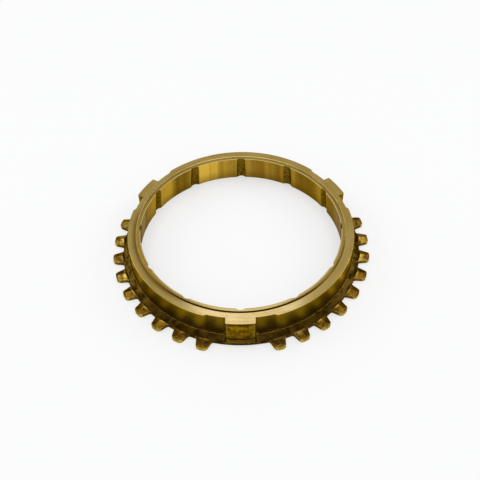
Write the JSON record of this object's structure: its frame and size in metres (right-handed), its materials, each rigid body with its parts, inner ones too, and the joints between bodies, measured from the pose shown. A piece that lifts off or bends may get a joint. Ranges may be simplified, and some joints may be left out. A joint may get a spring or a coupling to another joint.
{
  "type": "synchronizer ring",
  "caption": "Brass gearbox synchronizer ring: a turned ring with a grooved friction cone inside, roofed teeth round a flange at its foot, and lugs that key it to the hub.",
  "frame": {"origin": "on the ring's axis, in the toothed face that it stands on", "axes": "+Z along the axis towards the lugged face, -Y through the middle of one lug"},
  "size_m": [0.081, 0.0796, 0.0092],
  "materials": {
    "brass": "turned on the faces, the wall and the cone, and as forged on the flange and the teeth"
  },
  "bodies": {
    "root": {"synchronizer_ring": "brass"}
  },
  "joints": []
}
